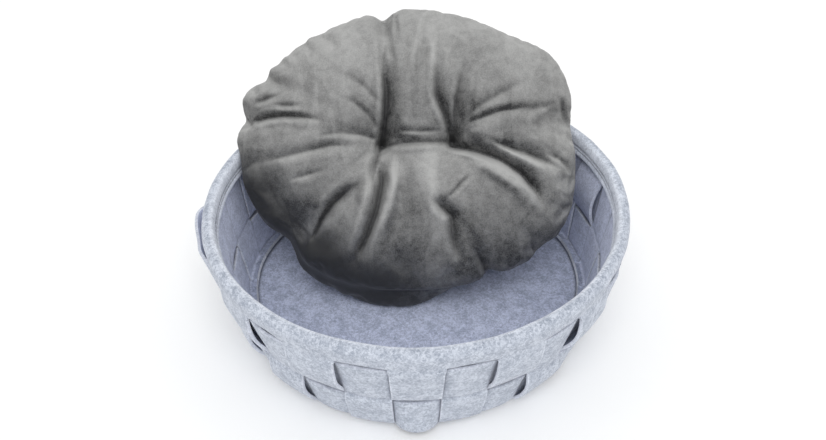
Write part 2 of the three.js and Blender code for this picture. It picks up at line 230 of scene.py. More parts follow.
# %% The line of a strap
TAB_LINE = [(150.5, 7.4), (153.5, 5.3), (157.2, 5.0)]      # radius and height
BOW_OUT = 4.2                # how far a strap bows off the wall line outside a band,
BOW_IN = 1.8                 # and inside one
STRAP_UNEVEN = 0.14          # share by which that bow changes from strap to strap,
UNEVEN_STEP = 2.4            # as a wave that takes this step, in radians, from one to the next
PROUD = {("upper", 6): 5.5, ("upper", 4): 10, ("upper", -4): 7.5, ("upper", -2): 8, ("upper", 2): 7.5,
         ("upper", 9): -8, ("lower", -3): 8, ("lower", 3): 9, ("lower", -5): 8}
FLAT_BOW = 4                 # powers that shape a bow: the higher, the flatter it is
ROUND_BOW = 2
BOW_SHARE = 0.92             # share of a row's height that the bow's points take up
BOW_STEPS = 15
HEM_FOOT_OUT = 2.4           # where the hem starts over a strap that is outside the band
HEM_FOOT_IN = 0.6            # and over one that is inside it
STRAP_ROWS = 58
STRAP_ROUNDS = 90            # how often neighbours are averaged to round the line


def hem_foot(strap):
    """How far off the wall line the hem starts over a strap."""
    return HEM_FOOT_IN if band_outside("upper", strap) else HEM_FOOT_OUT


def strap_line(strap):
    """Radius and height along the middle of a strap, from its tab to the top of the slits."""
    line = list(TAB_LINE)
    for name, row in ROWS.items():
        bow = -BOW_IN if band_outside(name, strap) else BOW_OUT
        bow *= 1 + STRAP_UNEVEN * math.sin(UNEVEN_STEP * strap + row["wave"])
        bow = PROUD.get((name, strap), bow)
        flat = ROUND_BOW if (name, strap) in PROUD else FLAT_BOW
        top = hem_foot(strap) if name == "upper" else 0
        for step in np.linspace(-BOW_SHARE, BOW_SHARE, BOW_STEPS):
            height = (row["head"] + row["foot"]) / 2 + step * (row["head"] - row["foot"]) / 2
            rest = top if step > 0 else 0
            off = rest + (bow - rest) * (1 - abs(step) ** flat) ** (2 / flat)
            line.append((wall_radius(height) + off, height))
        line.append((wall_radius(row["head"]) + top, row["head"]))
    return soft_line(line, STRAP_ROWS, STRAP_ROUNDS)


print("middle line of the front strap:", len(strap_line(0)), "points")

# %% [markdown]
# The line is then spread over the strap's width and carried on over the rim. The hem is rolled: it
# rises outside, turns over the top and comes down inside, where two rows of stitches draw it in. Where
# the hem starts, it follows the straps below in and out, and that fades out a little further up.

# %% The sheet of a strap
HEM_LINE = [(0.2, 0), (2.8, 6.8), (4.3, 13.0), (3.6, 16.7), (1.6, 18.9), (-1.2, 19.5), (-3.6, 18.0),
            (-4.9, 14.2), (-5.8, 8.4), (-7.2, 2.2)]        # off the wall line and above the slits
HEM_ROWS = 44
HEM_ROUNDS = 60
HEM_SEAMS = (6.4, 9.6)       # heights over the slits of the hem's two rows of stitches
SEAM_PULL = 1.3              # how far they draw the felt in,
PULL_WIDTH = 1.1             # over this half width,
INNER_FACE = (-2, -4)        # on the inner face, which starts between these places off the wall line
FOOT_REACH = 7               # height over which the hem's start fades out
HALF_STRAP = 0.495           # in straps; the rest is the slit
COLUMNS = 9


def strap_sheet(strap):
    """The points of one strap and of the hem over it, row by row."""
    across = np.sin(np.linspace(-1, 1, COLUMNS) * np.pi / 2)
    at_edges = (HEM_FOOT_OUT + HEM_FOOT_IN) / 2 - hem_foot(strap)
    lift = at_edges * (1 - np.cos(across * np.pi / 2))
    radius, height = strap_line(strap).T[:, :, None]
    radius = radius + lift * np.exp((height - SLIT_TOP) / FOOT_REACH)
    out, up = soft_line(HEM_LINE, HEM_ROWS, HEM_ROUNDS).T[:, 1:, None]
    pull = SEAM_PULL * smooth(*INNER_FACE, out)
    out = out + pull * sum(np.exp(-((up - seam) / PULL_WIDTH) ** 2) for seam in HEM_SEAMS)
    sway = (hem_foot(strap) + lift) * np.exp(-up / FOOT_REACH) * (out > 0)
    place = strap + HALF_STRAP * across
    return np.concatenate([bowl_point(place, radius, height),
                           bowl_point(place, wall_radius(SLIT_TOP) + out + sway, SLIT_TOP + up)])


panel = np.stack([strap_sheet(strap) for strap in STRAP_NUMBERS], 1)
rows = STRAP_ROWS + HEM_ROWS - 1
around = STRAPS * COLUMNS
print("wall panel: a grid of", rows, "by", around, "points")

# %% [markdown]
# All straps lie side by side in one grid now. Below the slits' tops, the faces between two straps are
# left out, which cuts the slits. Painted shade darkens the felt along the bands' edges and the rows of
# stitches, and cut edges are paler, so these lines are kept as values on the points for the finish to
# read.

# %% Wall panel
SLIT_ROWS = STRAP_ROWS - 3
WALL_WAVES = [(34, 0.8), (11, 0.25)]       # length and depth of its unevenness
LINE_OFF = 1.2               # the shaded line on a strap is this far from the band's edge,
LINE_WIDTH = 1.9             # about this wide,
LOW_LINE = 0.4               # and this strong at the band's lower edge
SEAM_WIDTH = 0.9             # half width of the shaded line along a row of stitches
CUT_FADE = 4                 # height over which the pale cut edges fade out below the hem


def band_edge_shade(strap, height, outside):
    """Painted shade: 1 on a strap along the edges of the bands that lie over its outer or its inner face.
    """
    lines = np.zeros_like(height)
    for name, row in ROWS.items():
        if band_outside(name, strap) == outside:
            lines += np.exp(-((height - row["high_edge"] - LINE_OFF) / LINE_WIDTH) ** 2)
            lines += LOW_LINE * np.exp(-((height - row["low_edge"] + LINE_OFF) / LINE_WIDTH) ** 2)
    return lines


wall_points = panel.reshape(-1, 3)
wall_faces = [face for face in grid_faces(rows, around, True)
              if face[0] // around >= SLIT_ROWS or (face[0] + 1) % COLUMNS]
wall_points = push_out(wall_points, sum(uneven(wall_points, *wave) for wave in WALL_WAVES))
wall = make_piece("woven_wall", wall_points, wall_faces)
heights = panel[..., 2]
# Painted shade lines along the bands' edges, one layer for each face of the straps.
edge_shade = {layer: np.stack([band_edge_shade(strap, heights[:, number], layer == "shade_outside")
                          for number, strap in enumerate(STRAP_NUMBERS)], 1)
         for layer in ("shade_outside", "shade_inside")}
turned_in = (np.arange(rows) > heights[:, 0, 0].argmax())[:, None, None]
# Painted shade along the hem's rows of stitches, on its inner face.
for seam in HEM_SEAMS:
    edge_shade["shade_inside"] += turned_in * np.exp(-((heights - SLIT_TOP - seam) / SEAM_WIDTH) ** 2)
cut = np.zeros_like(heights)
cut[:, :, [0, -1]] = 1
paint(wall, {**edge_shade, "near_cut": cut * (1 - smooth(SLIT_TOP - CUT_FADE, SLIT_TOP, heights))})
thicken(wall)
print("wall panel:", len(wall_points), "points,", len(wall_faces), "faces")

# %% [markdown]
# The two bands are closed rings of the same felt. Each is a grid that runs round the bowl and swings
# from outside to inside once a strap, through the slits. A band that hangs slack stands further off,
# most of all in the loop at the left, and at the front the lower one bags out along its bottom edge.

# %% Woven bands
BAND_OUT = 2.2               # how far a band stands off the wall line outside a strap,
BAND_IN = 1.6                # and inside one
SLACK = {("upper", -7): (18, 17), ("upper", -6): (12, 11), ("upper", -5): (1.5, 1.5),
         ("upper", -3): (3, 2.4), ("upper", 3): (2.5, 5), ("upper", 5): (5, 9),
         ("lower", 0): (3, 13), ("lower", 4): (5, 6)}      # at its top and its bottom edge, where slack
BAND_ROUND = 0.6             # shape of a swing: 1 is a plain wave, less is rounder
BAND_STEPS = 28              # columns for each strap
BAND_ROWS = 11
BAND_WAVE = (30, 0.7)        # length and depth of its unevenness,
NOISE_OFFSET = 500           # which is read from another place than the wall's
SLIT_SHADE = 0.05            # width of the shaded line at a slit, in straps


def band_off(row, strap):
    """How far a band stands off the wall line at a strap, at its top and at its bottom edge."""
    number = (strap + STRAPS // 2 - 1) % STRAPS - STRAPS // 2 + 1
    bow = BAND_OUT if band_outside(row, number) else -BAND_IN
    return np.array(SLACK.get((row, number), (bow, bow)), float)


def band_off_at(row, strap, share):
    """The same at a share of the strap from -0.5 to 0.5: nothing at a slit, unless a loop passes it."""
    middle = band_off(row, strap)
    beside = band_off(row, strap + (1 if share > 0 else -1))
    in_loop = middle[0] * beside[0] > 0
    at_slit = (middle + beside) / 2 if in_loop else 0 * middle
    swing = max(0, math.cos(share * math.pi)) ** (1 if in_loop else BAND_ROUND)
    return at_slit + (middle - at_slit) * swing


def slit_shade_line(row, strap, share):
    """A painted shade line: 1 at a slit where the band goes through to the other side, and nothing away
    from it.
    """
    beside = strap + (1 if share > 0 else -1)
    goes_through = band_off(row, strap)[0] * band_off(row, beside)[0] < 0
    return math.exp(-((0.5 - abs(share)) / SLIT_SHADE) ** 2) if goes_through else 0


def make_band(row):
    """A row's band, and its length along the middle line."""
    low, high = ROWS[row]["low_edge"], ROWS[row]["high_edge"]
    shares = (np.arange(BAND_STEPS) + 0.5) / BAND_STEPS - 0.5
    places = np.array([strap + share for strap in STRAP_NUMBERS for share in shares])
    off = np.array([band_off_at(row, strap, share) for strap in STRAP_NUMBERS for share in shares])
    rise = np.linspace(0, 1, BAND_ROWS)[:, None]
    height = low + rise * (high - low)
    radius = wall_radius(height) + off[:, 1] + rise * (off[:, 0] - off[:, 1])
    points = bowl_point(places, radius, height).reshape(-1, 3)
    points = push_out(points, uneven(points + NOISE_OFFSET, *BAND_WAVE))
    band = make_piece(f"{row}_band", points, grid_faces(BAND_ROWS, len(places), True))
    # Painted shade where the band goes through a slit, kept for both its faces.
    slit_shades = [slit_shade_line(row, strap, share) for strap in STRAP_NUMBERS for share in shares]
    paint(band, {layer: np.tile(slit_shades, BAND_ROWS) for layer in ("shade_outside", "shade_inside")})
    thicken(band)
    ring = points.reshape(BAND_ROWS, -1, 3)[BAND_ROWS // 2]
    return band, float(np.linalg.norm(ring - np.roll(ring, 1, 0), axis=1).sum())


upper_band, upper_length = make_band("upper")
lower_band, lower_length = make_band("lower")
print("bands: upper", round(upper_length), "mm long, lower", round(lower_length), "mm long")

# %% [markdown]
# The floor is a round of the same felt that lies flat on the ground, under the straps' tabs. Rings of
# points that rise and fall by a fraction of a millimetre keep its shading from looking machined. They are
# closer together near the edge, where a painted shadow line along the tabs' edges is kept for the finish.

# %% Floor disc
FLOOR_RADIUS = 158
FLOOR_COLUMNS = 168
FLOOR_LIFT = 0.15            # keeps its waves off the ground
FLOOR_WAVE = (40, 0.15)      # length and depth of its unevenness
TAB_EDGE = 8.6               # how far in from the floor's edge the tabs end
CLOSE_FROM = 0.88            # share of the way out from which the rings are closer together
RING_SHARES = np.concatenate([np.linspace(0, CLOSE_FROM, 30)[1:], np.linspace(CLOSE_FROM, 1, 25)[1:]])

floor_edge = bowl_point(np.arange(FLOOR_COLUMNS) * STRAPS / FLOOR_COLUMNS, FLOOR_RADIUS, FELT / 2)
floor_points = (floor_edge * RING_SHARES[:, None, None]).reshape(-1, 3)
from_edge = np.linalg.norm(np.tile(floor_edge, (len(RING_SHARES), 1)) - floor_points, axis=1)
floor_points[:, 2] = FELT / 2 + FLOOR_LIFT + uneven(floor_points, *FLOOR_WAVE)
centre = len(floor_points)
floor_points = np.vstack([floor_points, [0, 0, FELT / 2 + FLOOR_LIFT]])
floor_faces = grid_faces(len(RING_SHARES), FLOOR_COLUMNS, True)
floor_faces += [(centre, (c + 1) % FLOOR_COLUMNS, c) for c in range(FLOOR_COLUMNS)]
floor_disc = make_piece("felt_floor", floor_points, floor_faces)
# A painted shadow line on the floor along the tabs' edges, where they stand off it.
tab_shadow_line = np.append(np.exp(-((from_edge - TAB_EDGE) / LINE_WIDTH) ** 2), 0)
paint(floor_disc, {"shade_outside": tab_shadow_line, "shade_inside": tab_shadow_line})
thicken(floor_disc)

# %% [markdown]
# Two rows of stitches hold the hem, and they show on its inner face. Each stitch is a short plump
# thread with pinched ends. One thread is modelled, and copies of its points are set along both rows
# and joined in one mesh, which is lighter than hundreds of objects.

# %% Hem stitches
STITCH_LENGTH = 4.4
STITCH_PITCH = 5.8
THREAD_RADIUS = 0.5
STITCH_OUT = (-6.9, -6.35)   # off the wall line, for each row
THREAD_SIDES = 6

along = np.array([-1, -0.75, 0, 0.75, 1]) * STITCH_LENGTH / 2
girth = np.array([0.25, 0.8, 1, 0.8, 0.25]) * THREAD_RADIUS
spin = np.arange(THREAD_SIDES) * 2 * np.pi / THREAD_SIDES
thread = np.stack(np.broadcast_arrays(along[:, None], girth[:, None] * np.cos(spin),
                                      girth[:, None] * np.sin(spin)), -1).reshape(-1, 3)
thread_faces = grid_faces(len(along), THREAD_SIDES, True)
thread_faces += [tuple(range(THREAD_SIDES))[::-1],
                 tuple(range(len(thread) - THREAD_SIDES, len(thread)))]
stitch_points = []
stitch_faces = []
for out, up in zip(STITCH_OUT, HEM_SEAMS):
    radius = wall_radius(SLIT_TOP) + out
    count = round(2 * np.pi * radius / STITCH_PITCH)
    spots = bowl_point(np.arange(count) * STRAPS / count, radius, SLIT_TOP + up)
    ahead = np.roll(spots, -1, 0) - np.roll(spots, 1, 0)
    ahead /= np.linalg.norm(ahead, axis=1)[:, None]
    aside = np.cross(ahead, (0, 0, 1))
    for spot, run, side in zip(spots, ahead, aside):
        base = len(stitch_points) * len(thread)
        stitch_points.append(spot + thread @ np.array([run, side, (0, 0, 1)]))
        stitch_faces += [tuple(base + corner for corner in face) for face in thread_faces]
stitches = make_piece("hem_stitches", np.concatenate(stitch_points), stitch_faces)
print("hem stitches:", len(stitch_points))

# %% [markdown]
# The cushion is two round plush panels sewn together, filled, and tied down at two points. Its outline
# is the seam, which is neither round nor even. A circle could be pulled into shape by hand; here a short
# table gives the seam's reach every 30 degrees, a soft curve joins these, and puckers draw it in where
# the stitching gathers the plush.

# %% The cushion's seam
SEAM_REACH = [164, 169, 144, 137, 140, 157, 168, 159, 149, 140, 150, 171]
PUCKERS = [  # turn, spread and draw
    (7, 6, 5), (47, 8, 3), (101, 4, 8), (127.5, 2.4, 2.5), (135.8, 2.2, 3.5), (141.2, 2.2, 3.5),
    (146.7, 2.2, 4), (154.8, 2.6, 6), (163, 5, -6), (171, 3, 5), (186, 4, 4), (218, 7, 12),
    (303, 3, 9), (323, 4, 5),
]


def seam_reach(turn):
    """The seam's distance from the cushion's middle at turns in degrees."""
    rows = len(SEAM_REACH)
    place = turn / (360 / rows)
    row = np.floor(place).astype(int)
    a, b, c, d = (np.take(SEAM_REACH, (row + step) % rows) for step in (-1, 0, 1, 2))
    t = place - row
    reach = b + t * (c - a + t * (2 * a - 5 * b + 4 * c - d + t * (3 * b - a - 3 * c + d))) / 2
    for middle, spread, draw in PUCKERS:
        away = np.abs((turn - middle + 180) % 360 - 180)
        reach = reach - draw * np.exp(-(away / spread) ** 2)
    return reach


print("seam reaches out", seam_reach(np.arange(0, 360, 30)).round().tolist(), "mm")

# %% [markdown]
# It leans back on the rim, its lower edge slumped on the floor. Its plain form comes from a function: a
# turn round the seam and a rise from the seam to the middle of either panel give one point. The back
# panel is deeper, sags where the filling sinks, and thins where the rim presses on it.

# %% The cushion's plain form
LEAN = math.radians(47)
MIDDLE = np.array([-9, 76, 137])
AXES = np.array([(1, 0, 0), (0, math.cos(LEAN), math.sin(LEAN)), (0, -math.sin(LEAN), math.cos(LEAN))])
CROWN_FRONT = 42             # height of the front panel over the seam
CROWN_BACK = 58              # depth of the back panel behind it
FULLNESS = 10                # how far the sides swell beyond a plain oval
SLUMP = 31                   # extra swell of the back panel at the bottom,
SLUMP_ENDS = (266, 300)      # which ends between these turns, at the right
RIM_PRESS = {"turn": 168, "spread": 34, "thins": 0.9}      # where the rim thins the back's edge


def cushion_point(turn, rise):
    """Points in the cushion's own frame: across its face, up its slope and out of the seam's plane."""
    low = np.maximum(0, -np.sin(np.radians(turn))) ** 2 * (1 - smooth(*SLUMP_ENDS, turn))
    lift = np.radians(rise)
    swell = FULLNESS + np.where(rise < 0, SLUMP * low, 0)
    reach = seam_reach(turn) * np.cos(lift) + swell * np.sin(2 * np.abs(lift))
    p = reach * np.cos(np.radians(turn))
    q = reach * np.sin(np.radians(turn))
    thins = 1 + RIM_PRESS["thins"] * np.exp(-((turn - RIM_PRESS["turn"]) / RIM_PRESS["spread"]) ** 2)
    back = -CROWN_BACK * np.abs(np.sin(lift)) ** thins
    return np.stack([p, q, np.where(rise < 0, back, CROWN_FRONT * np.sin(lift))], -1)


print("plain cushion:", CROWN_FRONT + CROWN_BACK, "mm thick in the middle")

# %% [markdown]
# The bowl dents the cushion where they touch. A collision in a simulation would do it too, but more
# slowly, and three plain rules are enough: stay above the floor, above a ledge at the rim, and inside
# the straps. The same rules find the places where the cushion rests, and they hold after the creases.

# %% Lay the cushion in the bowl
FLOOR_CLEAR = 0.4            # between the cushion and the floor
WALL_CLEAR = 3               # between the cushion and the straps inside,
STRAP_BOW = 6.8              # which bow about this far off the wall line
LEDGE_HEIGHT = 139           # of the cushion where it rests on the rim
LEDGE_RADIUS = 188.5         # from here inward it drops into the bowl,
LEDGE_SLOPE = 2.5            # this steeply,
LEDGE_WIDTH = 14             # over this distance
TURNS = np.arange(0, 360, 2.25)      # degrees, as the rises from the back's middle to the front's
RISES = np.concatenate([np.linspace(-90, 0, 24)[1:-1], np.linspace(0, 90, 40)[:-1]])


def clear_of_bowl(points):
    """Moves points of the cushion off the floor, the rim and the inside of the wall."""
    x, y, z = points.T
    turn = np.arctan2(x, -y)
    radius = np.hypot(x, y) / stretch(turn)
    ledge = LEDGE_HEIGHT - LEDGE_SLOPE * np.maximum(0, LEDGE_RADIUS - radius)
    over_rim = np.where(radius > LEDGE_RADIUS - LEDGE_WIDTH, ledge, 0)
    z = np.maximum(np.maximum(z, FELT + FLOOR_CLEAR), over_rim)
    inside = wall_radius(np.minimum(z, SLIT_TOP)) - STRAP_BOW - FELT - WALL_CLEAR
    shrink = np.where(z < SLIT_TOP, np.minimum(1, inside / radius), 1)
    return np.stack([x * shrink, y * shrink, z], -1)


rounds = cushion_point(*np.meshgrid(TURNS, RISES)).reshape(-1, 3)
poles = np.array([(0, 0, -CROWN_BACK), (0, 0, CROWN_FRONT)])
plain_points = clear_of_bowl(np.vstack([rounds, poles]) @ AXES + MIDDLE)
last = len(rounds) - len(TURNS)
plain_faces = grid_faces(len(RISES), len(TURNS), True)
for c in range(len(TURNS)):
    beside = (c + 1) % len(TURNS)
    plain_faces += [(len(rounds), beside, c), (len(rounds) + 1, last + c, last + beside)]
cushion = make_piece("plush_cushion", plain_points, plain_faces)
print("plain cushion:", len(plain_points), "points")

# %% [markdown]
# From here on the cushion's mesh is changed step by step. A few helpers take the mesh that a modifier
# shows, put it in the place of the old one, and read or set all points at once, which is far quicker
# than a loop over them. The plain form is then remeshed into even quads, as the simulation needs.

# %% Even quads
VOXEL = 3.45                 # size of the quads


def shown_mesh(piece):
    """A mesh of what the piece's modifiers show."""
    graph = bpy.context.evaluated_depsgraph_get()
    return bpy.data.meshes.new_from_object(piece.evaluated_get(graph), depsgraph=graph)


def take_mesh(piece, mesh):
    """Swaps a piece's mesh and drops the modifiers that made it."""
    piece.modifiers.clear()
    piece.data = mesh
    mesh.name = piece.name
    mesh.shade_smooth()


def points_of(mesh):
    """A mesh's points in millimetres."""
    points = np.empty(len(mesh.vertices) * 3, np.float32)
    mesh.vertices.foreach_get("co", points)
    return points.reshape(-1, 3).astype(float) / MM


def set_points(mesh, points):
    """Moves a mesh's points to these, in millimetres."""
    mesh.vertices.foreach_set("co", (points * MM).astype(np.float32).ravel())
    mesh.update()


def own_frame(points):
    """Points of the cushion in its own frame, with the seam in its level plane."""
    return (points - MIDDLE) @ AXES.T


remesh = cushion.modifiers.new("even quads", "REMESH")
remesh.mode = "VOXEL"
remesh.voxel_size = VOXEL * MM
take_mesh(cushion, shown_mesh(cushion))
print("even cushion:", len(cushion.data.vertices), "points")

# %% [markdown]
# A filled cushion swells against its seam and its ties. The seam, the ties and the places where it rests
# are pinned, and a Cloth modifier blows it up a little with slightly too much fabric, so the plush strains
# between the pins. Each point may only move a few millimetres, which keeps the outline. One subdivision
# then gives enough points for the creases.

# %% Fill the cushion
TUFTS = [(-25, 0), (43, 4)]
SWELL_CAP = 5                # the furthest that a point may move
FILL_STEPS = 20
NUDGE = np.array([0, 0, -1.5])   # a point that the bowl pushes back when moved by this
PUSHED_BACK = 0.5            # by more than this rests on the bowl
SEAM_HALF = 4                # half width of the strip that the seam holds,
SEAM_HOLD = 0.9              # and how firmly
TIE_REACH = 9                # how far round a tie the plush is held
LEAST_HOLD = 0.05            # weaker pins are left out


def hold(piece, start):
    """Pins the points at the seam, round the ties and where the piece rests."""
    local = own_frame(start)
    resting = np.abs(clear_of_bowl(start + NUDGE) - start - NUDGE).max(1) > PUSHED_BACK
    held = np.where(np.abs(local[:, 2]) < SEAM_HALF, SEAM_HOLD, 0) + resting
    for p, q in TUFTS:
        near = np.hypot(local[:, 0] - p, local[:, 1] - q)
        held = held + np.where(local[:, 2] > 0, np.exp(-(near / TIE_REACH) ** 2), 0)
    pins = piece.vertex_groups.new(name="held")
    for index in np.flatnonzero(held > LEAST_HOLD):
        pins.add([int(index)], float(min(1, held[index])), "REPLACE")
    return pins


def fill(piece):
    """Swells the piece against its pins with a short cloth simulation."""
    start = points_of(piece.data)
    pins = hold(piece, start)
    cloth = piece.modifiers.new("filling", "CLOTH")
    cloth.settings.quality = 6
    cloth.settings.mass = 0.25
    cloth.settings.use_pressure = True
    cloth.settings.uniform_pressure_force = 4
    cloth.settings.shrink_min = -0.03
    cloth.settings.effector_weights.gravity = 0
    cloth.settings.vertex_group_mass = pins.name
    cloth.point_cache.frame_end = FILL_STEPS
    for step in range(1, FILL_STEPS + 1):
        bpy.context.scene.frame_set(step)
    take_mesh(piece, shown_mesh(piece))
    bpy.context.scene.frame_set(1)
    move = points_of(piece.data) - start
    length = np.linalg.norm(move, axis=1)
    move *= (SWELL_CAP * np.tanh(length / SWELL_CAP) / np.maximum(length, 1e-6))[:, None]
    set_points(piece.data, start + move)
    return length


moved = fill(cushion)
print("filling moved the plush by", round(float(moved.mean()), 2), "mm on average")
finer = cushion.modifiers.new("finer", "SUBSURF")
finer.levels = 1
take_mesh(cushion, shown_mesh(cushion))
print("filled cushion:", len(cushion.data.vertices), "points")

# %% [markdown]
# The ties draw the front panel into two dimples, and creases run out from them to the seam. They were
# placed one by one: each follows a short path on the panel, has a depth, and falls off over one width
# on its left and another on its right, because most folds lap over on one side. The lower the power,
# the sharper the bottom. Lead and fade are the shares of the path over which it deepens and from which
# it runs out. A negative depth is a ridge.

# %% Table of creases
CREASE_COLUMNS = ("depth", "left", "right", "power", "lead", "fade", "path")
CREASE_ROWS = [
    (14, 2.6, 8, 1.1, 0, 0.3, [(-26, 1), (-22, 25), (-21, 47), (-23, 77), (-21, 91), (-19, 110)]),
    (2.5, 2.2, 2.2, 1.4, 0.4, 0.5, [(-27, 62), (-26, 91), (-27, 114)]),
    (6, 6, 7, 1.8, 0, 0.2, [(-22, 130), (-22, 118), (-23, 98)]),
    (2.5, 2, 2, 1.4, 0, 0.3, [(-12, 126), (-11, 112), (-9, 96)]),
    (7, 2.6, 2.8, 1.3, 0.25, 0.35, [(-158, 19), (-138, 26), (-119, 27), (-98, 24), (-72, 19)]),
    (3.5, 3, 3, 1.4, 0.3, 0.4, [(-152, 39), (-137, 44), (-118, 50)]),
    (2.5, 3, 3, 1.5, 0.4, 0.5, [(-134, 38), (-118, 36), (-98, 37)]),
    (4, 3, 4, 1.4, 0, 0.4, [(-166, 32), (-158, 24), (-146, 12)]),
    (2, 4, 5, 1.7, 0.7, 0.8, [(-84, 74), (-60, 66), (-42, 54), (-24, 35)]),
    (2.4, 3, 4, 1.6, 0.7, 0.8, [(-70, 46), (-52, 39), (-38, 28), (-25, 10)]),
    (2.8, 2.6, 5, 1.3, 0.1, 0.3, [(-28, 4), (-46, 8), (-66, 9), (-98, 5)]),
    (3.8, 4, 5, 1.4, 0.4, 0.5, [(-40, -3), (-72, -3), (-109, -11), (-129, -15), (-158, -21)]),
    (2, 3, 3, 1.5, 0.4, 0.5, [(-76, -26), (-104, -33), (-128, -40)]),
    (12, 12, 3, 1.1, 0.4, 0.75, [(-42, -36), (-58, -46), (-72, -58), (-84, -75), (-99, -103)]),
    (7, 2.5, 3.5, 1.2, 0, 0.4, [(-26, -2), (-29, -12), (-32, -22), (-33, -46)]),
    (10, 5, 4.5, 1.4, 0.25, 0.75, [(-27, -12), (-25, -40), (-30, -66), (-38, -88), (-54, -122)]),
    (-5, 6, 6, 2, 0.3, 0.6, [(-17, -10), (-13, -38), (-18, -62), (-28, -84), (-40, -108)]),
    (-4, 7, 7, 2, 0.3, 0.6, [(-37, -30), (-41, -62), (-50, -90), (-60, -112)]),
    (4.5, 5, 2.5, 1.3, 0, 1, [(-26, -2), (7, 0), (43, 2)]),
    (1.8, 3, 3, 1.6, 0.3, 0.6, [(-17, 13), (12, 11), (41, 14)]),
    (11, 2.6, 6.5, 1.1, 0, 0.35, [(43, 4), (37, 25), (28, 45), (28, 60), (31, 82)]),
    (8, 2.4, 6, 1.2, 0, 0.35, [(44, 6), (47, 38), (51, 60), (60, 92)]),
    (4, 3, 5, 1.4, 0.45, 0.5, [(47, 10), (62, 21), (89, 31), (132, 37)]),
    (2, 4, 4, 1.7, 0.5, 0.5, [(52, 20), (70, 36), (89, 47), (120, 64)]),
    (5, 3, 5, 1.5, 0.4, 0.5, [(150, 50), (154, 32), (158, 14)]),
    (13, 6.5, 2.8, 1.15, 0, 0.6, [(44, -1), (68, -7), (91, -16), (110, -29), (124, -46), (136, -72)]),
    (-3.5, 5, 6, 2, 0.4, 0.5, [(48, -8), (80, -26), (104, -42), (134, -76)]),
    (8, 6, 3.5, 1.3, 0.4, 0.5, [(72, 4), (114, -9), (156, -27)]),
    (3.5, 3, 2.5, 1.3, 0.4, 0.5, [(130, -8), (149, -15), (162, -28)]),
    (2.6, 1.8, 1.8, 1.5, 0.3, 0.6, [(60, -30), (48, -44), (37, -56)]),
    (8.5, 6, 3.5, 1.25, 0.2, 0.5, [(23, -53), (33, -62), (42, -71), (44, -93), (52, -130)]),
    (5, 4, 3, 1.3, 0.4, 0.9, [(64, -98), (75, -119), (83, -138)]),
    (4, 3, 3, 1.4, 0.4, 0.9, [(119, -94), (126, -106), (132, -116)]),
    (9, 22, 22, 2, 0.3, 0.6, [(-140, -22), (-126, -58), (-100, -86), (-66, -106)]),
    (-2.5, 8, 8, 2, 0.4, 0.5, [(23, -14), (24, -55), (26, -100)]),
    (2.5, 5, 5, 2, 0.4, 0.5, [(17, 120), (14, 86), (12, 48)]),
    (-2.2, 5, 5, 2, 0.4, 0.5, [(26, 118), (24, 81), (19, 46)]),
    (2.2, 5, 5, 2, 0.4, 0.5, [(45, 118), (43, 93), (38, 66)]),
    (-2, 5, 5, 2, 0.4, 0.5, [(7, 112), (5, 81), (4, 46)]),
]
CREASES = [dict(zip(CREASE_COLUMNS, row)) for row in CREASE_ROWS]
print("creases and ridges:", len(CREASES))

# %% [markdown]
# A crease is more than a groove. A soft hollow goes with it, and the plush stands up a little beside it
# as a lip. At the bottom of a deep one, where the plush touches itself, a thin line of painted shade goes
# along it, and it is measured here too. Creases that meet don't simply add up: the root of the sum of
# squares lets the deeper one win, where a plain sum would dig a hole.

# %% The depth of a crease
DIMPLE = {"depth": 10, "reach": 36}
PIT = {"depth": 11, "reach": 6}
CREASE_SAMPLES = 60
PATH_ROUNDS = 250            # how often neighbours are averaged to round a path
HOLLOW = 13                  # half width of the soft hollow that goes with a crease,
HOLLOW_SHARE = 0.16          # and its share of the crease's depth
LIP = 0.14                   # share by which the plush stands up beside a crease,
LIP_AT = 2.4                 # this many widths from its bottom,
LIP_WIDTH = 1.1              # over this many widths
CREASE_REACH = 45            # no crease shows further from its path than this
FOLD_SHADE_WIDTH = 1.7             # half width of the painted shade line at the bottom of a crease,
FOLD_SHADE_DEPTH = 9               # which is full from this depth on


def crease_depth(crease, spots):
    """How deep one crease is at each spot of the panel, and how near the spot is to its bottom, for a
    painted shade line.
    """
    line = soft_line(crease["path"], CREASE_SAMPLES, PATH_ROUNDS)
    run = np.gradient(line, axis=0)
    half_step = np.linalg.norm(run[0]) / 2
    run /= np.linalg.norm(run, axis=1)[:, None]
    share = np.linspace(0, 1, CREASE_SAMPLES)
    deep = smooth(0, crease["lead"], share) if crease["lead"] else np.ones_like(share)
    deep = deep * (1 - smooth(crease["fade"], 1.001, share))
    gap = spots[:, None] - line
    along = (gap * run).sum(2)
    aside = run[:, 0] * gap[:, :, 1] - run[:, 1] * gap[:, :, 0]
    away = np.hypot(aside, np.maximum(0, np.abs(along) - half_step))
    side = aside / np.maximum(away, 1e-6)
    width = (crease["left"] + crease["right"] + side * (crease["left"] - crease["right"])) / 2
    core = (deep * np.exp(-(away / width) ** crease["power"])).max(1)
    lip = (deep * np.exp(-((away - LIP_AT * width) / (LIP_WIDTH * width)) ** 2)).max(1)
    hollow = (deep * np.exp(-(away / HOLLOW) ** 2)).max(1)
    bottom = (deep * np.exp(-(away / FOLD_SHADE_WIDTH) ** 2)).max(1)
    bottom *= np.clip(crease["depth"] / FOLD_SHADE_DEPTH, 0, 1)
    return crease["depth"] * (core - LIP * lip + HOLLOW_SHARE * hollow), bottom


